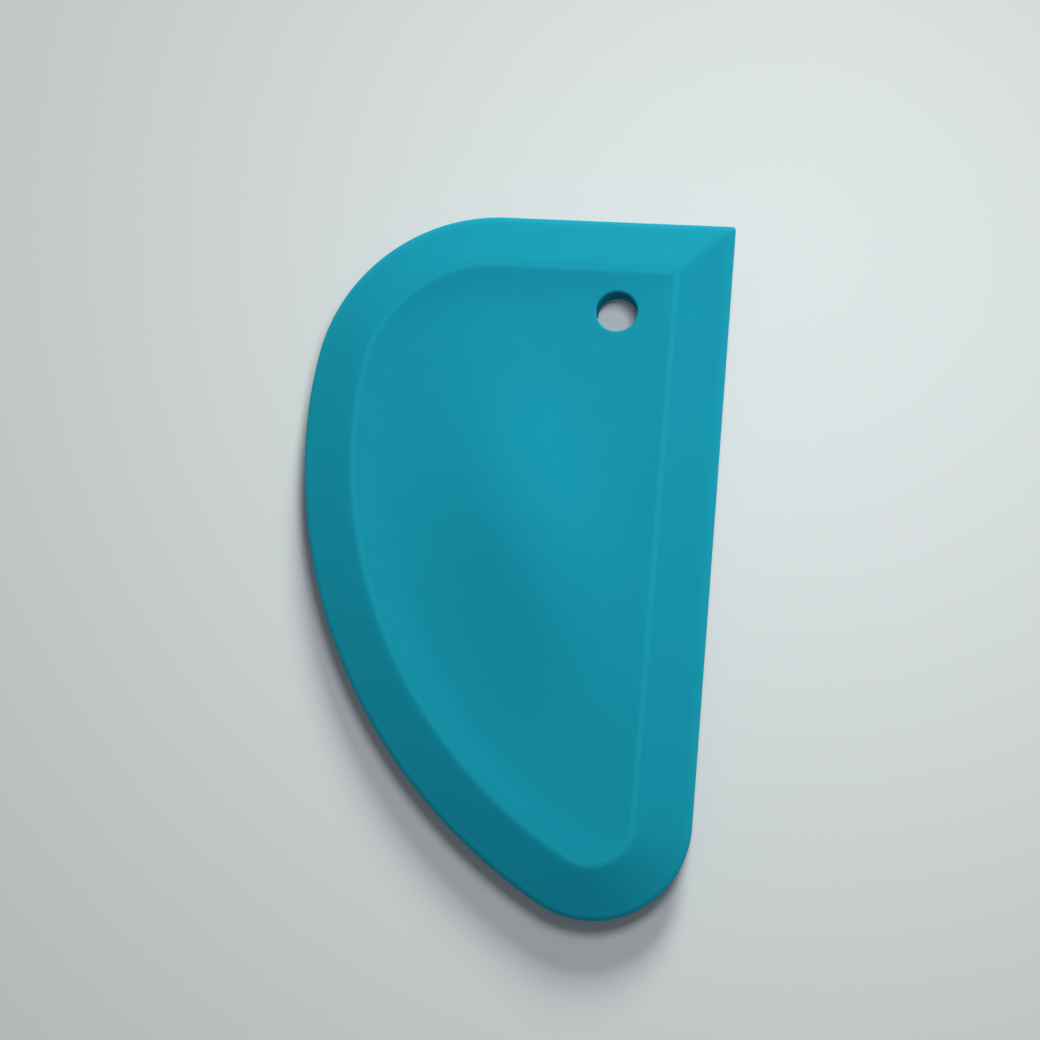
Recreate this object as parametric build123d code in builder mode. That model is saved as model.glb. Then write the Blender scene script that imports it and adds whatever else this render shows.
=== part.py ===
"""Bowl scraper: a stiff nylon plate between two silicone skins that are pressed over it.

It lies on its back: +X is the straight scraping edge, +Y the hang hole end, +Z the front face.
The origin is the middle of the box on the surface that it lies on. Sizes are in millimetres.
"""

import math
import os

from build123d import *

# Outline: one straight edge, a square corner, and a curved side that ends in a round tip
blade_length = 190.0
blade_width = 115.0
corner_radius = 1.0
crown_radius = 49.6
shoulder_radius = 119.0
shoulder_drop = 9.8
tip_radius = 25.8

# Section of a skin: thin edge, bevel, ridge, hollow and palm swell
edge_thickness = 1.2
bevel_width = 13.7
ridge_thickness = 7.4
ridge_land_width = 1.8
ridge_corner_radius = 0.5
hollow_depth = 0.7
hollow_wall_width = 5.0
hollow_corner_radius = 2.0

# Palm swell: an oval dome in the hollow, set off from the ridge by a gap on each side
swell_rise = 2.4
swell_top_gap = 14.8
swell_tip_gap = 23.4
swell_straight_gap = 6.3
swell_curved_gap = 20.5
swell_tilt = 17.0

# Each pair is a share of the dome's reach and the share of its height there. The last is its flat top.
swell_profile_shares = [
    (1.00, 0.00),
    (0.85, 0.11),
    (0.70, 0.27),
    (0.55, 0.48),
    (0.40, 0.71),
    (0.26, 0.90),
    (0.18, 1.00),
]

# Hang hole, lined with silicone all the way through
hang_hole_diameter = 11.2
hang_hole_from_straight_edge = 30.8
hang_hole_from_top_edge = 27.2
hang_hole_rim_radius = 0.6
hang_hole_lining = 2.0

# Stiffener plate, with holes in which the two skins meet and bond
plate_thickness = 2.0
plate_setback = 2.2
plate_corner_radius = 3.0
plate_clearance = 0.1
key_diameter = 8.0
key_count = 4
key_reach_share = 0.85

# How far a cutting tool runs past the surface that it cuts
overrun = 1.0

# Places that follow from the sizes
straight_x = blade_width / 2
top_y = blade_length / 2
middle_z = ridge_thickness / 2 + swell_rise
ridge_z = middle_z + ridge_thickness / 2
floor_z = ridge_z - hollow_depth
ridge_inset = bevel_width + ridge_land_width

# The curved side is four arcs, each tangent to the next: crown, shoulder, flank and tip
crown_y = top_y - crown_radius
widest_y = crown_y - shoulder_drop
shoulder_x = shoulder_radius - straight_x
crown_x = shoulder_x - math.sqrt((shoulder_radius - crown_radius) ** 2 - shoulder_drop**2)
tip_x = straight_x - tip_radius
tip_y = tip_radius - top_y
flank_drop = widest_y - tip_y
flank_radius = ((blade_width - tip_radius) ** 2 + flank_drop**2 - tip_radius**2) / (
    2 * (blade_width - 2 * tip_radius)
)
flank_x = flank_radius - straight_x
crown_end = math.degrees(math.atan2(shoulder_drop, crown_x - shoulder_x))
flank_end = 360 - math.degrees(math.atan2(flank_drop, tip_x - flank_x))

# The dome's middle and half sizes fill the ridge's inside, apart from the gaps
swell_width = blade_width - 2 * ridge_inset - swell_straight_gap - swell_curved_gap
swell_length = blade_length - 2 * ridge_inset - swell_top_gap - swell_tip_gap
swell_x = straight_x - ridge_inset - swell_straight_gap - swell_width / 2
swell_y = top_y - ridge_inset - swell_top_gap - swell_length / 2
swell_height = hollow_depth + swell_rise
swell_base = Plane((swell_x, swell_y, floor_z)).rotated((0, 0, swell_tilt))

hang_hole_x = straight_x - hang_hole_from_straight_edge
hang_hole_y = top_y - hang_hole_from_top_edge
hang_hole_radius = hang_hole_diameter / 2
rim_outer_radius = hang_hole_radius + hang_hole_rim_radius
rim_top = hollow_depth + overrun
key_spacing = swell_length * key_reach_share / (key_count - 1)


def outline(inset, square_corner_radius):
    """The blade's plan, moved inwards by inset, with its square corner rounded."""
    with BuildSketch() as plan:
        with BuildLine():
            crown = CenterArc((crown_x, crown_y), crown_radius - inset, 90, crown_end - 90)
            CenterArc((shoulder_x, widest_y), shoulder_radius - inset, crown_end, 180 - crown_end)
            CenterArc((flank_x, widest_y), flank_radius - inset, 180, flank_end - 180)
            tip = CenterArc((tip_x, tip_y), tip_radius - inset, flank_end, 360 - flank_end)
            straight_side = Line(tip @ 1, (straight_x - inset, top_y - inset))
            Line(straight_side @ 1, crown @ 0)
        make_face()
        fillet(plan.vertices().group_by(Axis.Y)[-1].sort_by(Axis.X)[-1], square_corner_radius)
    return plan.sketch


def plate_plan(clearance):
    """The stiffener plate's plan, grown by clearance at every side wall."""
    with BuildSketch() as plan:
        add(outline(ridge_inset + plate_setback - clearance, plate_corner_radius))
        with Locations((hang_hole_x, hang_hole_y)):
            Circle(hang_hole_radius + hang_hole_lining - clearance, mode=Mode.SUBTRACT)
        with Locations(Location((swell_x, swell_y), swell_tilt)):
            with GridLocations(0, key_spacing, 1, key_count):
                Circle(key_diameter / 2 - clearance, mode=Mode.SUBTRACT)
    return plan.sketch


# Front skin: edge and bevel up to the ridge
with BuildPart() as front_skin:
    with BuildSketch(Plane.XY.offset(middle_z)):
        add(outline(0, corner_radius))
    extrude(amount=edge_thickness / 2)
    with BuildSketch(Plane.XY.offset(middle_z + edge_thickness / 2)):
        add(outline(0, corner_radius))
    with BuildSketch(Plane.XY.offset(ridge_z)):
        add(outline(bevel_width, ridge_corner_radius))
    loft(ruled=True)

    # Shallow hollow inside the ridge
    with BuildSketch(Plane.XY.offset(ridge_z)):
        add(outline(ridge_inset, ridge_corner_radius))
    with BuildSketch(Plane.XY.offset(floor_z)):
        add(outline(ridge_inset + hollow_wall_width, hollow_corner_radius))
    loft(ruled=True, mode=Mode.SUBTRACT)

    # Palm swell, a smooth dome through its rings
    for reach_share, height_share in swell_profile_shares:
        with BuildSketch(swell_base.offset(swell_height * height_share)):
            Ellipse(swell_width / 2 * reach_share, swell_length / 2 * reach_share)
    loft()

    # Hang hole with a soft rim, cut by one turned profile that runs up past the ridge
    with BuildSketch(Plane((hang_hole_x, hang_hole_y, floor_z), x_dir=(1, 0, 0), z_dir=(0, -1, 0))):
        with BuildLine():
            wall = Line((hang_hole_radius, middle_z - floor_z), (hang_hole_radius, -hang_hole_rim_radius))
            rim = CenterArc((rim_outer_radius, -hang_hole_rim_radius), hang_hole_rim_radius, 180, -90)
            Polyline(rim @ 1, (rim_outer_radius, rim_top), (0, rim_top), (0, middle_z - floor_z), wall @ 0)
        make_face()
    revolve(axis=Axis((hang_hole_x, hang_hole_y, 0), (0, 0, 1)), mode=Mode.SUBTRACT)

    # Half of the plate's pocket, which leaves the keys and the hang hole's lining standing
    with BuildSketch(Plane.XY.offset(middle_z)):
        add(plate_plan(plate_clearance))
    extrude(amount=plate_thickness / 2, mode=Mode.SUBTRACT)

# Back skin: the front skin's mirror image across the parting line
with BuildPart() as back_skin:
    mirror(front_skin.part, about=Plane.XY.offset(middle_z))

# Stiffener plate
with BuildPart() as stiffener_plate:
    with BuildSketch(Plane.XY.offset(middle_z)):
        add(plate_plan(0))
    extrude(amount=plate_thickness / 2, both=True)

os.makedirs("parts", exist_ok=True)
front_skin.part.label = "front_skin"
back_skin.part.label = "back_skin"
stiffener_plate.part.label = "stiffener_plate"
export_step(front_skin.part, "parts/front_skin.step")
export_step(back_skin.part, "parts/back_skin.step")
export_step(stiffener_plate.part, "parts/stiffener_plate.step")

print(f"Flank radius {flank_radius:.2f} mm, overall {blade_length} x {blade_width} x {2 * middle_z:.1f} mm")
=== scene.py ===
# %% [markdown]
# # A silicone bowl scraper
#
# The real object is a nylon plate between two pressed lays of silicone. Its outline is half a teardrop: one
# straight edge, a square corner, and a curved side that ends in a round tip. A bevel runs all round, from a
# thin edge up to a soft ridge, and inside the ridge a shallow hollow holds a low palm swell.
#
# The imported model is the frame: it gives the sizes and the place of every piece. This lesson replaces the two
# skins with smooth ones, gives every piece its finish, and then lights them.

# %% Load the frame
import math

import bmesh
import bpy
from mathutils import Matrix, Vector


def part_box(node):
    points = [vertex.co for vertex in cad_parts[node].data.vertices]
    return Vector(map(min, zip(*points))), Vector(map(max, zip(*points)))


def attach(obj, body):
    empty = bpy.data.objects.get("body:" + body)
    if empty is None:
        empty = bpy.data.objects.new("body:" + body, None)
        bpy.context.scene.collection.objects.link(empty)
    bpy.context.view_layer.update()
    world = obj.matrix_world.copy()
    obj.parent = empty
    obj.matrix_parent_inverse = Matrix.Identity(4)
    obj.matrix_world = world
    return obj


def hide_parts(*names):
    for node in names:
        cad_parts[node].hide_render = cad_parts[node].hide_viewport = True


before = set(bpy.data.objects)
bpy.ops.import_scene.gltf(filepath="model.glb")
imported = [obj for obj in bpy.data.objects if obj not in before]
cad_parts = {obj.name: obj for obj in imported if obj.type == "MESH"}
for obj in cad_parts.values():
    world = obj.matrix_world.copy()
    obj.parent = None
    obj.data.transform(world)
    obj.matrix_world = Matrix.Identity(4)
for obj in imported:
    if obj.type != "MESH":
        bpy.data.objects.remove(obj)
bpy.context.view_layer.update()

print("Nodes in the frame:", sorted(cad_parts))

# %% [markdown]
# ## Sizes
#
# The box of the front skin gives the straight edge, the top edge and the parting plane, where the two skins
# meet. The curved side is four arcs, each tangent to the next. Three radii and one drop are given: the rest
# follows from the box, so the smooth skin has the same outline as the solid that it replaces.

# %% Outline sizes
MM = 0.001
skin_low, skin_high = (Vector(place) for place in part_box("front_skin"))
straight_x, top_y = skin_high.x, skin_high.y
blade_width, blade_length = skin_high.x - skin_low.x, skin_high.y - skin_low.y
parting_z = skin_low.z
skin_height = skin_high.z - skin_low.z

corner_radius = 1.0 * MM
crown_radius = 49.6 * MM
shoulder_radius = 119.0 * MM
shoulder_drop = 9.8 * MM
tip_radius = 25.8 * MM

crown = Vector((0, top_y - crown_radius, parting_z))
shoulder = Vector((shoulder_radius - straight_x, crown.y - shoulder_drop, parting_z))
crown.x = shoulder.x - math.sqrt((shoulder_radius - crown_radius) ** 2 - shoulder_drop**2)
tip = Vector((straight_x - tip_radius, tip_radius - top_y, parting_z))
flank_drop = shoulder.y - tip.y
flank_radius = ((blade_width - tip_radius) ** 2 + flank_drop**2 - tip_radius**2) / (
    2 * (blade_width - 2 * tip_radius)
)
flank = Vector((flank_radius - straight_x, shoulder.y, parting_z))
corner = Vector((straight_x - corner_radius, top_y - corner_radius, parting_z))

crown_end = math.atan2(shoulder_drop, crown.x - shoulder.x)
flank_end = math.tau - math.atan2(flank_drop, tip.x - flank.x)
print(f"Outline {blade_width / MM:.1f} x {blade_length / MM:.1f} mm, flank radius {flank_radius / MM:.1f} mm")

# %% [markdown]
# The section of a skin is a height above the parting plane. It starts at the thin edge, climbs the bevel to
# the ridge, crosses the ridge's narrow land, drops into the hollow, and rises over the palm swell. The hollow
# is deepest beside the curved side, where the fingers rest. The ridge isn't quite even with the edge: it lies
# a fraction of a millimetre nearer the curved side and the tip. The hang hole goes through both skins.

# %% Section sizes
edge_height = 0.6 * MM
edge_round = 0.15 * MM
bevel_width = 13.7 * MM
ridge_land = 1.8 * MM
ridge_inset = bevel_width + ridge_land
ridge_height = 3.7 * MM
ridge_shift = Vector((-0.25 * MM, -0.4 * MM, 0))
crease_softness = 0.2 * MM
corner_softness = 1.2 * MM

hollow_depth = 0.7 * MM
# The hollow levels out just where the rings would close on the middle of the tip's arc
hollow_wall = tip_radius - ridge_inset
hollow_softness = 0.8 * MM
# How much deeper the hollow gets for each metre along X and along Y
hollow_fall = Vector((-0.0055, 0.0))
swell_middle = Vector((straight_x - 50.4 * MM, top_y - 90.7 * MM, parting_z))
swell_half_width = 18.3 * MM
swell_half_length = 37.5 * MM
swell_tilt = math.radians(17.0)
swell_fullness = 1.04
swell_height = skin_height - ridge_height + hollow_depth

hole_radius = 5.6 * MM
hole_rim = 0.6 * MM
hole_middle = Vector((straight_x - 30.8 * MM, top_y - 27.2 * MM, parting_z))
print(f"The swell stands {swell_height / MM:.2f} mm above the hollow's floor")

# %% [markdown]
# ## How far inside the edge
#
# The bevel and the hollow both follow the edge, so their height depends on how far a point lies inside it.
# For a straight side that is a plain difference. For an arc it is the radius less the distance to its middle,
# and it counts only within the arc's own angle. Where the two straight sides meet, a soft minimum rounds the
# corner of the hollow, as a cutter rounds it in the mould.

# %% Distance inside the edge
arcs = [
    (crown, crown_radius, math.pi / 2, crown_end),
    (shoulder, shoulder_radius, crown_end, math.pi),
    (flank, flank_radius, math.pi, flank_end),
    (tip, tip_radius, flank_end, math.tau),
]


def soft_minimum(first, second, softness):
    """The smaller of two lengths, rounded over where they are nearly the same."""
    return (first + second - math.hypot(first - second, softness)) / 2


def inside(point):
    """How far a point lies inside the blade's edge, in metres."""
    nearest = soft_minimum(straight_x - point.x, top_y - point.y, corner_softness)
    for middle, radius, start, end in arcs:
        arm = point.xy - middle.xy
        angle = math.atan2(arm.y, arm.x) % math.tau
        if start <= angle <= end:
            nearest = min(nearest, radius - arm.length)
    return nearest


print(f"The swell's middle lies {inside(swell_middle) / MM:.1f} mm inside the edge")

# %% [markdown]
# ## The form of a face
#
# The bevel climbs to the ridge's land, and a soft minimum rounds the crease between them, as silicone leaves
# a mould. Past the land the hollow starts gently, keeps a steady slope and eases into its floor. The swell is
# an oval bell on top of it.


# %% Height of a face above the parting plane
def bevel_height(depth):
    """The bevel's height at a depth inside the edge."""
    return edge_height + (ridge_height - edge_height) * depth / bevel_width


def dish_height(point, depth):
    """The height of the ridge's land, the hollow and the swell."""
    arm = point.xy - swell_middle.xy
    past_land = -soft_minimum(ridge_inset - depth, 0, hollow_softness)
    way_in = min(past_land / hollow_wall, 1)
    hollow = (hollow_depth + hollow_fall.dot(arm)) * way_in * (3 - way_in**2) / 2
    arm.rotate(Matrix.Rotation(-swell_tilt, 2))
    reach = (arm.x / swell_half_width) ** 2 + (arm.y / swell_half_length) ** 2
    return ridge_height - hollow + swell_height * math.exp(-(reach**swell_fullness))


def face_height(point, depth):
    """Height above the parting plane, with the bevel's crease rounded by a soft minimum."""
    return soft_minimum(bevel_height(depth), dish_height(point, depth), crease_softness)


swell_top = face_height(swell_middle, inside(swell_middle))
print(f"Swell's top: {swell_top / MM:.2f} mm above the parting plane; the frame has {skin_height / MM:.2f}")

# %% [markdown]
# ## The outline as a loop
#
# A spin sweeps one point round an arc's middle and leaves edges behind it, which is just how a maker would
# strike the curve with a compass. Along a straight side the last point is extruded again and again, in even
# steps.
#
# Every point of the loop remembers where it stands on the rim, and which way is inwards. On an arc that is
# towards the middle. On a straight side it leans more and more towards the corner's mitre, so that each ring
# inside the loop is an exact, smaller outline.

# %% Draw the outline
crown_steps, shoulder_steps, flank_steps, tip_steps, corner_steps = 40, 8, 84, 36, 5
straight_steps, top_steps = 85, 35


def sweep(bm, start, middle, angle, steps):
    """Spins a point round a middle and returns the points that it leaves, in order."""
    before = set(bm.verts)
    bmesh.ops.spin(bm, geom=[start], cent=middle, axis=(0, 0, 1), angle=angle, steps=steps)
    return [v for v in bm.verts if v not in before]


def run_to(bm, start, place, steps):
    """Extrudes a point again and again until it reaches a place, and returns its points, in order."""
    points, step = [start], (Vector(place) - start.co) / steps
    for _ in range(steps):
        points += bmesh.ops.extrude_vert_indiv(bm, verts=points[-1:])["verts"]
        points[-1].co = points[-2].co + step
    return points[1:]


def draw_outline(bm, rim, inward):
    """The blade's edge as one closed loop, with each point's place and inward direction in two layers."""
    first = bm.verts.new((crown.x, top_y, parting_z))
    first[inward] = (0, -1, 0)
    last = first
    for middle, angle, steps in (
        (crown, crown_end - math.pi / 2, crown_steps),
        (shoulder, math.pi - crown_end, shoulder_steps),
        (flank, flank_end - math.pi, flank_steps),
        (tip, math.tau - flank_end, tip_steps),
    ):
        arc = sweep(bm, last, middle, angle, steps)
        last = arc[-1]
        for v in arc:
            v[inward] = (middle - v.co).normalized()
    straight = run_to(bm, last, (straight_x, corner.y, parting_z), straight_steps)
    turn = sweep(bm, straight[-1], corner, math.pi / 2, corner_steps)
    top = run_to(bm, turn[-1], first.co, top_steps)
    for v in straight:
        v[inward] = (-1, -(v.co.y - tip.y) / (corner.y - tip.y), 0)
    for v in turn:
        v[inward] = (-1, -1, 0)
    for v in top:
        v[inward] = (-(v.co.x - crown.x) / (corner.x - crown.x), -1, 0)
    bmesh.ops.weld_verts(bm, targetmap={top[-1]: first})
    for v in bm.verts:
        v[rim] = v.co


# %% [markdown]
# ## Rings from the edge to the swell
#
# The loop is extruded again and again. Each new ring moves inwards along the directions that its points
# remember, takes on the ridge's small shift as it climbs the bevel, and takes its height from the form. Rings
# are close together where the section bends: at the thin edge and over the ridge. The flat bevel needs few.
#
# Past the ridge the points remember a new direction, towards the top of the swell. The rings shrink that way,
# and the last one closes to a point.

# %% Rings
edge_rings, bevel_rings, ridge_rings, wall_rings, middle_rings = 5, 8, 24, 4, 52
ridge_band = 2.0 * MM
wall_reach = 5.2 * MM


def ring_places():
    """Inset and height of each ring after the outline. A height of None is taken from the form."""
    places = [(0.0, edge_height - edge_round)]
    for step in range(1, edge_rings):
        turn = math.pi / 2 * step / edge_rings
        places.append((edge_round * (1 - math.cos(turn)), edge_height - edge_round * (1 - math.sin(turn))))
    stretches = [
        (edge_round, bevel_width - ridge_band, bevel_rings),
        (bevel_width - ridge_band, ridge_inset + ridge_band, ridge_rings),
        (ridge_inset + ridge_band, ridge_inset + wall_reach, wall_rings),
    ]
    for start, end, rings in stretches:
        places += [(start + (end - start) * step / rings, None) for step in range(rings)]
    return places + [(ridge_inset + wall_reach, None)]


def widen(bm, loop):
    """Extrudes a loop of edges and returns the new loop's edges and points."""
    made = bmesh.ops.extrude_edge_only(bm, edges=loop)["geom"]
    edges = [g for g in made if isinstance(g, bmesh.types.BMEdge)]
    return edges, [g for g in made if isinstance(g, bmesh.types.BMVert)]


def settle(v, depth):
    """Puts a point at the form's height for its place and notes how deep inside the edge it lies."""
    v[depth] = inside(v.co - ridge_shift)
    v.co.z = parting_z + face_height(v.co, v[depth])


def raise_face(bm, loop, rim, inward, depth):
    """Builds the face from the outline to the top of the swell, ring by ring."""
    for inset, height in ring_places():
        loop, points = widen(bm, loop)
        for v in points:
            v.co = v[rim] + v[inward] * inset + ridge_shift * min(inset / bevel_width, 1)
            v.co.z += face_height(v.co, inset) if height is None else height
            v[depth] = inset
    for v in points:
        v[rim] = v.co
        v[inward] = swell_middle - v.co
    for ring in range(middle_rings):
        loop, points = widen(bm, loop)
        for v in points:
            v.co = v[rim] + v[inward] * (ring + 1) / middle_rings
            settle(v, depth)
    bmesh.ops.pointmerge(bm, verts=points, merge_co=points[0].co)


# %% [markdown]
# ## The hang hole
#
# The rings pay no heed to the hole, so it is let in afterwards. The faces round it are cut finer, and those
# inside a clearing are deleted. The clearing's ragged edge is smoothed, a round collar is drawn inside it,
# and triangles fill the strip between the two. The collar is then extruded inwards: level with the face,
# over a quarter-round rim, and down the wall.

# %% Let in the hang hole
hole_clearing = 7.7 * MM
hole_reach = 9.7 * MM
collar_radius = (hole_clearing + hole_radius + hole_rim) / 2
collar_steps, rim_rings, smooth_rounds = 96, 6, 4


def from_hole(v):
    """How far a point lies from the hole's middle, seen from above."""
    return (v.co.xy - hole_middle.xy).length


def nearest_point(part):
    """How near an edge or a face comes to the hole's middle."""
    return min(from_hole(v) for v in part.verts)


def draw_collar(bm, depth):
    """A round loop of edges on the face, round the hole."""
    points = bmesh.ops.create_circle(
        bm, segments=collar_steps, radius=collar_radius, matrix=Matrix.Translation(hole_middle)
    )["verts"]
    for v in points:
        settle(v, depth)
    return list({e for v in points for e in v.link_edges})


def let_in_hole(bm, depth):
    """Opens the hang hole down to the parting plane."""
    near = [e for e in bm.edges if nearest_point(e) < hole_clearing and e.verts[0][depth] > 0]
    bmesh.ops.subdivide_edges(bm, edges=near, cuts=1, use_grid_fill=True)
    inner = [f for f in bm.faces if nearest_point(f) < hole_clearing]
    bmesh.ops.delete(bm, geom=inner, context="FACES")
    ragged = [e for e in bm.edges if e.is_boundary and from_hole(e.verts[0]) < hole_reach]
    ragged_points = list({v for e in ragged for v in e.verts})
    for _ in range(smooth_rounds):
        bmesh.ops.smooth_vert(bm, verts=ragged_points, factor=0.5, use_axis_x=True, use_axis_y=True)
    for v in bm.verts:
        if v[depth] > 0 and from_hole(v) < hole_reach:
            settle(v, depth)
    loop = draw_collar(bm, depth)
    bmesh.ops.triangle_fill(bm, edges=ragged + loop, use_beauty=True, normal=(0, 0, 1))
    steps = [(hole_radius + hole_rim, 0)]
    for step in range(1, rim_rings + 1):
        turn = math.pi / 2 * step / rim_rings
        steps.append((hole_radius + hole_rim * (1 - math.sin(turn)), hole_rim * (1 - math.cos(turn))))
    for radius, drop in steps:
        loop, points = widen(bm, loop)
        for v in points:
            out = (v.co.xy - hole_middle.xy).normalized()
            v.co.xy = hole_middle.xy + out * (hole_radius + hole_rim)
            settle(v, depth)
            v.co.xy = hole_middle.xy + out * radius
            v.co.z -= drop
    loop, points = widen(bm, loop)
    for v in points:
        v.co.z = parting_z


# %% [markdown]
# ## The pocket
#
# A flat fill along the parting plane closes the skin underneath. The nylon plate then cuts its own pocket:
# a Boolean takes away a copy of it, and leaves the keys standing where the plate has holes. The frame's plate
# is loose triangles, so the copy is merged before it can cut.

# %% Cut the pocket
weld_distance = 0.001 * MM


def as_piece(name, bm):
    """Turns a bmesh into an object in the scene, with its points in place."""
    mesh = bpy.data.meshes.new(name)
    bm.to_mesh(mesh)
    bm.free()
    piece = bpy.data.objects.new(name, mesh)
    bpy.context.collection.objects.link(piece)
    return piece


def cut_pocket(skin):
    """Takes the plate out of a skin."""
    bm = bmesh.new()
    bm.from_mesh(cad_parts["stiffener_plate"].data)
    bmesh.ops.remove_doubles(bm, verts=bm.verts, dist=weld_distance)
    cutter = as_piece("pocket_cutter", bm)
    cut = skin.modifiers.new("pocket", "BOOLEAN")
    cut.operation, cut.solver, cut.object = "DIFFERENCE", "EXACT", cutter
    bpy.context.view_layer.update()
    cut_mesh = bpy.data.meshes.new_from_object(skin.evaluated_get(bpy.context.evaluated_depsgraph_get()))
    skin.modifiers.clear()
    skin.data = cut_mesh
    bpy.data.objects.remove(cutter)


# %% [markdown]
# ## Pressing the skins
#
# A mould presses both skins at once. Here the front skin is made step by step, and the back one is its mirror
# image across the parting plane, as its solid is. Mirroring turns the faces inside out, so they are turned
# back. Shading is smooth, apart from true corners, such as where the hole's wall meets the parting plane.

# %% Skins
sharp_angle = math.radians(40)


def press_front_skin():
    """The front skin, from its outline to its pocket."""
    bm = bmesh.new()
    rim = bm.verts.layers.float_vector.new("rim")
    inward = bm.verts.layers.float_vector.new("inward")
    depth = bm.verts.layers.float.new("depth")
    draw_outline(bm, rim, inward)
    raise_face(bm, list(bm.edges), rim, inward, depth)
    let_in_hole(bm, depth)
    open_edges = [e for e in bm.edges if e.is_boundary]
    bmesh.ops.triangle_fill(bm, edges=open_edges, use_beauty=True, normal=(0, 0, -1))
    bmesh.ops.recalc_face_normals(bm, faces=bm.faces)
    gaps = sum(not e.is_manifold for e in bm.edges)
    print(f"Front skin before its pocket: {len(bm.faces)} faces, {gaps} open edges")
    for name in ("rim", "inward"):
        bm.verts.layers.float_vector.remove(bm.verts.layers.float_vector[name])
    skin = as_piece("front_silicone_skin", bm)
    cut_pocket(skin)
    return skin


def turn_over(front):
    """The back skin: the front skin's mirror image across the parting plane."""
    bm = bmesh.new()
    bm.from_mesh(front.data)
    across = Matrix.Translation((0, 0, -parting_z))
    bmesh.ops.scale(bm, vec=(1, 1, -1), space=across, verts=bm.verts)
    bmesh.ops.recalc_face_normals(bm, faces=bm.faces)
    return as_piece("back_silicone_skin", bm)


front_skin = press_front_skin()
back_skin = turn_over(front_skin)
for skin, node in ((front_skin, "front_skin"), (back_skin, "back_skin")):
    skin.data.shade_smooth()
    skin.data.set_sharp_from_angle(angle=sharp_angle)
    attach(skin, "root")
    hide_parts(node)
    print(skin.name, "has", sum(len(p.vertices) - 2 for p in skin.data.polygons), "triangles")

# %% [markdown]
# ## Grain and mottle
#
# Both materials come out of a mould, so both carry its marks: a fine grain, a slow unevenness of the surface,
# and pigment that isn't quite evenly mixed. Each is a node group that a material places with its own values.


# %% Node groups
def new_group(name, inputs, outputs):
    """An empty node group with its sockets, each given as a name, a kind and a starting value."""
    group = bpy.data.node_groups.new(name, "ShaderNodeTree")
    for socket, kind, value in inputs:
        made = group.interface.new_socket(socket, in_out="INPUT", socket_type=kind)
        made.default_value = value
    for socket, kind in outputs:
        group.interface.new_socket(socket, in_out="OUTPUT", socket_type=kind)
    return group, group.nodes.new("NodeGroupInput").outputs, group.nodes.new("NodeGroupOutput").inputs


def noise(tree, place, scale, detail, roughness=0.5):
    """A noise texture at a place, with as many cells in a metre as the scale's socket says."""
    node = tree.nodes.new("ShaderNodeTexNoise")
    tree.links.new(place, node.inputs["Vector"])
    tree.links.new(scale, node.inputs["Scale"])
    node.inputs["Detail"].default_value = detail
    node.inputs["Roughness"].default_value = roughness
    return node.outputs["Fac"]


def maths(tree, operation, *values):
    """A Math node. Each value may be a number or a socket."""
    node = tree.nodes.new("ShaderNodeMath")
    node.operation = operation
    for socket, value in zip(node.inputs, values):
        if isinstance(value, bpy.types.NodeSocket):
            tree.links.new(value, socket)
        else:
            socket.default_value = value
    return node.outputs[0]


def mould_surface_group():
    """Height in metres of a fine grain and a slow unevenness, each with its own size and depth."""
    group, given, result = new_group(
        "mould surface",
        [
            ("Place", "NodeSocketVector", (0, 0, 0)),
            ("Grain per metre", "NodeSocketFloat", 3000),
            ("Grain depth", "NodeSocketFloat", 0.004 * MM),
            ("Waves per metre", "NodeSocketFloat", 120),
            ("Wave depth", "NodeSocketFloat", 0.01 * MM),
        ],
        [("Height", "NodeSocketFloat")],
    )
    grain = noise(group, given["Place"], given["Grain per metre"], 2)
    waves = noise(group, given["Place"], given["Waves per metre"], 1)
    deep_grain = maths(group, "MULTIPLY", grain, given["Grain depth"])
    height = maths(group, "MULTIPLY_ADD", waves, given["Wave depth"], deep_grain)
    group.links.new(height, result["Height"])
    return group


def pigment_group():
    """A colour that wanders slowly between a darker and a lighter mix, and the mask that it used."""
    group, given, result = new_group(
        "pigment mottle",
        [
            ("Place", "NodeSocketVector", (0, 0, 0)),
            ("Darker", "NodeSocketColor", (0, 0, 0, 1)),
            ("Lighter", "NodeSocketColor", (1, 1, 1, 1)),
            ("Clouds per metre", "NodeSocketFloat", 60),
        ],
        [("Colour", "NodeSocketColor"), ("Mask", "NodeSocketFloat")],
    )
    clouds = noise(group, given["Place"], given["Clouds per metre"], 3, 0.55)
    mix = group.nodes.new("ShaderNodeMix")
    mix.data_type = "RGBA"
    group.links.new(clouds, mix.inputs["Factor"])
    group.links.new(given["Darker"], mix.inputs["A"])
    group.links.new(given["Lighter"], mix.inputs["B"])
    group.links.new(mix.outputs["Result"], result["Colour"])
    group.links.new(clouds, result["Mask"])
    return group


mould_surface, pigment = mould_surface_group(), pigment_group()
print("Node groups:", mould_surface.name, "and", pigment.name)

# %% [markdown]
# ## Helpers for the finishes
#
# Every finish starts in the same way: a new material, the piece's own coordinates, and the groups above with
# their own values. Colours are written as a screen shows them and turned into the linear values of a shader.


# %% Material helpers
def linear(red, green, blue):
    """A colour from 0 to 255 as a screen shows it, in the linear values that a shader takes."""
    return tuple(
        (c / 255 / 12.92) if c <= 10 else ((c / 255 + 0.055) / 1.055) ** 2.4 for c in (red, green, blue)
    ) + (1,)


def new_material(name):
    """A new material, its nodes, the piece's own coordinates and the shader."""
    material = bpy.data.materials.new(name)
    material.use_nodes = True
    tree = material.node_tree
    place = tree.nodes.new("ShaderNodeTexCoord").outputs["Object"]
    return material, tree, place, tree.nodes["Principled BSDF"]


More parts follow.
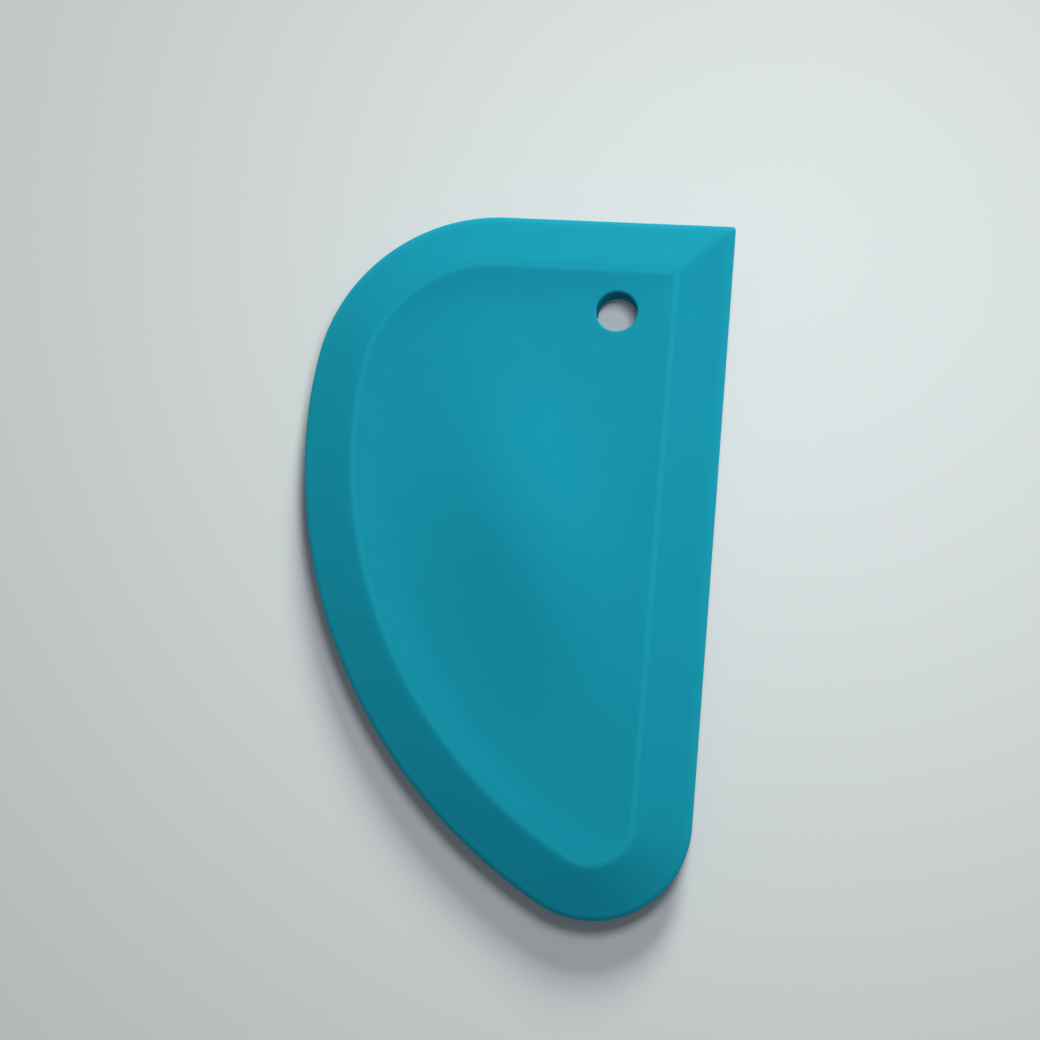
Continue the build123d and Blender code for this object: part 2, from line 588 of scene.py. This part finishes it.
def use_group(tree, group, place, values):
    """Places a node group in a material, with its values by the names of their sockets."""
    node = tree.nodes.new("ShaderNodeGroup")
    node.node_tree = group
    tree.links.new(place, node.inputs["Place"])
    for name, value in values.items():
        node.inputs[name].default_value = value
    return node.outputs


def roughen(tree, shader, height):
    """Turns a height in metres into small bumps of the surface."""
    bump = tree.nodes.new("ShaderNodeBump")
    bump.inputs["Distance"].default_value = 1
    tree.links.new(height, bump.inputs["Height"])
    tree.links.new(bump.outputs["Normal"], shader.inputs["Normal"])


def fade(tree, value, full, none):
    """A mask that is 1 where the value is at full, and falls smoothly to 0 where it reaches none."""
    node = tree.nodes.new("ShaderNodeMapRange")
    node.interpolation_type = "SMOOTHSTEP"
    tree.links.new(value, node.inputs["Value"])
    for name, number in (("From Min", full), ("From Max", none), ("To Min", 1), ("To Max", 0)):
        node.inputs[name].default_value = number
    return node.outputs["Result"]


# %% [markdown]
# ## Silicone
#
# Matt silicone is plain to look at, and that is what makes it hard: with no pattern, everything shows in how
# softly the light rolls over it. Its colour is a deep teal with almost no red. The ridge's land is painted
# paler, a painted highlight along the crest, and is made slightly smoother. The thin edge is painted paler too,
# a painted glow for the light that comes through it. The points' depth inside the edge gives both bands their
# place.

# %% Silicone
thin_edge = 3.2 * MM
land_middle = bevel_width + ridge_land * 0.6
land_full, land_none = ridge_land * 0.15, ridge_land * 0.7
# Paler colour painted in: a painted highlight on the ridge's land and a painted glow at the thin edge
land_highlight_paint, edge_glow_paint = 0.5, 0.45
silicone_roughness, roughness_spread, land_polish = 0.78, 0.08, 0.08


def matt_silicone():
    """Teal silicone, with a painted highlight on the ridge's land and a painted glow at the thin edge."""
    material, tree, place, shader = new_material("matt silicone")
    shader.inputs["IOR"].default_value = 1.41
    shader.inputs["Specular IOR Level"].default_value = 0.05
    teal = {"Darker": linear(18, 140, 166), "Lighter": linear(21, 144, 169), "Clouds per metre": 110}
    mottle = use_group(tree, pigment, place, teal)
    depth = tree.nodes.new("ShaderNodeAttribute")
    depth.attribute_name = "depth"
    from_land = maths(tree, "ABSOLUTE", maths(tree, "SUBTRACT", depth.outputs["Fac"], land_middle))
    # The ridge's land: the mask for its painted highlight and its lower roughness
    land = fade(tree, from_land, land_full, land_none)
    # The thin edge: a painted glow for the light that comes through it
    edge = maths(tree, "MULTIPLY", fade(tree, depth.outputs["Fac"], 0, thin_edge), edge_glow_paint)
    paler = tree.nodes.new("ShaderNodeMix")
    paler.data_type = "RGBA"
    tree.links.new(maths(tree, "MULTIPLY_ADD", land, land_highlight_paint, edge), paler.inputs["Factor"])
    tree.links.new(mottle["Colour"], paler.inputs["A"])
    # The paler colour that the painted highlight and the painted glow mix in
    paler.inputs["B"].default_value = linear(26, 156, 181)
    tree.links.new(paler.outputs["Result"], shader.inputs["Base Color"])
    rough = maths(tree, "MULTIPLY_ADD", mottle["Mask"], roughness_spread, silicone_roughness)
    tree.links.new(maths(tree, "MULTIPLY_ADD", land, -land_polish, rough), shader.inputs["Roughness"])
    grain = {"Grain per metre": 2600, "Grain depth": 0.003 * MM}
    waves = {"Waves per metre": 110, "Wave depth": 0.02 * MM}
    roughen(tree, shader, use_group(tree, mould_surface, place, grain | waves)["Height"])
    return material


silicone = matt_silicone()
for skin in (front_skin, back_skin):
    skin.data.materials.clear()
    skin.data.materials.append(silicone)

# %% [markdown]
# ## Nylon
#
# The plate is hidden between the skins, and shows only when the scraper is taken apart. Its mesh is right as
# it is, so it only gets a finish: natural nylon is a warm off-white, a little glossier than silicone.

# %% Nylon
nylon_roughness, nylon_spread = 0.4, 0.1


def natural_nylon():
    """Warm off-white nylon."""
    material, tree, place, shader = new_material("natural nylon")
    shader.inputs["IOR"].default_value = 1.53
    off_white = {"Darker": linear(224, 219, 205), "Lighter": linear(235, 232, 221), "Clouds per metre": 90}
    mottle = use_group(tree, pigment, place, off_white)
    tree.links.new(mottle["Colour"], shader.inputs["Base Color"])
    rough = maths(tree, "MULTIPLY_ADD", mottle["Mask"], nylon_spread, nylon_roughness)
    tree.links.new(rough, shader.inputs["Roughness"])
    grain = {"Grain per metre": 1800, "Grain depth": 0.006 * MM}
    waves = {"Waves per metre": 80, "Wave depth": 0.03 * MM}
    roughen(tree, shader, use_group(tree, mould_surface, place, grain | waves)["Height"])
    return material


nylon = natural_nylon()
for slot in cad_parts["stiffener_plate"].material_slots:
    slot.material = nylon

# %% [markdown]
# ## Floor
#
# The floor is plain and pale, and takes the object's shadow. A studio's paper backdrop rises from its table
# in one curve, with no line where the two meet. Here the camera sees the floor turn into the colour of the
# walls, little by little, from a short way round the object outwards. Light that bounces sees a plain floor.

# %% Floor
floor_size = 4.0
floor_colour = linear(211, 216, 220)
floor_glow, backdrop_share = 0.05, 0.6
fade_start, fade_end = 0.2, 0.65
wall_colour = (0.88, 0.95, 1.0, 1)
paper_roughness = 0.9


def camera_ray(tree):
    """1 for what the camera sees directly, and 0 for light that bounces."""
    return tree.nodes.new("ShaderNodeLightPath").outputs["Is Camera Ray"]


def lay_floor():
    """Lays a level sheet that turns into the walls' colour, a short way out, for what the camera sees."""
    material, tree, place, shader = new_material("pale floor")
    shader.inputs["Base Color"].default_value = floor_colour
    shader.inputs["Roughness"].default_value = paper_roughness
    shader.inputs["Specular IOR Level"].default_value = 0
    shader.inputs["Emission Color"].default_value = floor_colour
    seen = camera_ray(tree)
    tree.links.new(maths(tree, "MULTIPLY", seen, floor_glow), shader.inputs["Emission Strength"])
    away = tree.nodes.new("ShaderNodeVectorMath")
    away.operation = "LENGTH"
    tree.links.new(place, away.inputs["Vector"])
    backdrop = tree.nodes.new("ShaderNodeEmission")
    backdrop.inputs["Color"].default_value = wall_colour
    backdrop.inputs["Strength"].default_value = backdrop_share
    curve = tree.nodes.new("ShaderNodeMixShader")
    far = fade(tree, away.outputs["Value"], fade_end, fade_start)
    tree.links.new(maths(tree, "MULTIPLY", seen, far), curve.inputs["Fac"])
    tree.links.new(shader.outputs["BSDF"], curve.inputs[1])
    tree.links.new(backdrop.outputs["Emission"], curve.inputs[2])
    tree.links.new(curve.outputs["Shader"], tree.nodes["Material Output"].inputs["Surface"])
    bm = bmesh.new()
    bmesh.ops.create_grid(bm, size=floor_size / 2)
    floor = as_piece("floor", bm)
    floor.data.materials.append(material)


lay_floor()

# %% [markdown]
# ## Light
#
# Three lights share the work. A large lamp far away, low over the hang hole's end, rakes across the face and
# shows its form: it is slightly warm. A soft one overhead, slightly cool, fills it in, and the studio's walls
# lift the shadows. Each share is the part of the light on a level surface, and the shares make one: the level
# at which a colour looks as written. The camera sees the walls paler than the light that they give.

# %% Light
key_distance = 2.9
key_place = Vector((0.354, 2.6, 1.0)).normalized() * key_distance
key_share, key_size, key_colour = 0.45, 0.9, (0.95, 0.99, 0.86)
overhead_place = Vector((0.089, 0.091, 0.29))
overhead_share, overhead_size, overhead_colour = 0.42, 0.12, (1.02, 1.0, 1.03)
world_share = 0.13


def soft_lamp(name, place, share, size, colour):
    """A round lamp that faces the origin and gives a level surface there its share of the light."""
    lamp = bpy.data.objects.new(name, bpy.data.lights.new(name, "AREA"))
    lamp.data.shape, lamp.data.size, lamp.data.color = "DISK", size, colour
    # A white surface facing the lamp is as bright as its watts over pi squared and the distance squared
    lamp.data.energy = share * math.pi**2 * place.length_squared * place.length / place.z
    lamp.location = place
    lamp.rotation_euler = place.to_track_quat("Z", "Y").to_euler()
    lamp.visible_camera = False
    bpy.context.collection.objects.link(lamp)
    print(f"{name}: {lamp.data.energy:.2f} W from {place.length:.2f} m")


soft_lamp("key", key_place, key_share, key_size, key_colour)
soft_lamp("overhead", overhead_place, overhead_share, overhead_size, overhead_colour)

world = bpy.data.worlds.new("studio")
world.use_nodes = True
studio = world.node_tree
studio.nodes["Background"].inputs["Color"].default_value = wall_colour
wall_level = maths(studio, "MULTIPLY_ADD", camera_ray(studio), backdrop_share - world_share, world_share)
studio.links.new(wall_level, studio.nodes["Background"].inputs["Strength"])
bpy.context.scene.world = world

# %% [markdown]
# ## Camera
#
# The camera stands above the face, a little to the right of the straight edge and below the middle, and looks
# across it. Its directions and its lens come from the outline's perspective in the photograph.

# %% Camera
camera_place = Vector((63.07, -72.06, 401.2)) * MM
camera_right = Vector((0.98742, 0.09690, -0.12496))
camera_up = Vector((-0.06943, 0.97568, 0.20791))
camera_lens = 51.92

camera = bpy.data.objects.new("camera", bpy.data.cameras.new("camera"))
camera.data.lens = camera_lens
camera.data.clip_start = 0.01
back = camera_right.cross(camera_up).normalized()
turned = Matrix((camera_right, camera_up, back)).transposed().to_4x4()
camera.matrix_world = Matrix.Translation(camera_place) @ turned
bpy.context.collection.objects.link(camera)
bpy.context.scene.camera = camera
bpy.context.scene.view_settings.view_transform = "Standard"
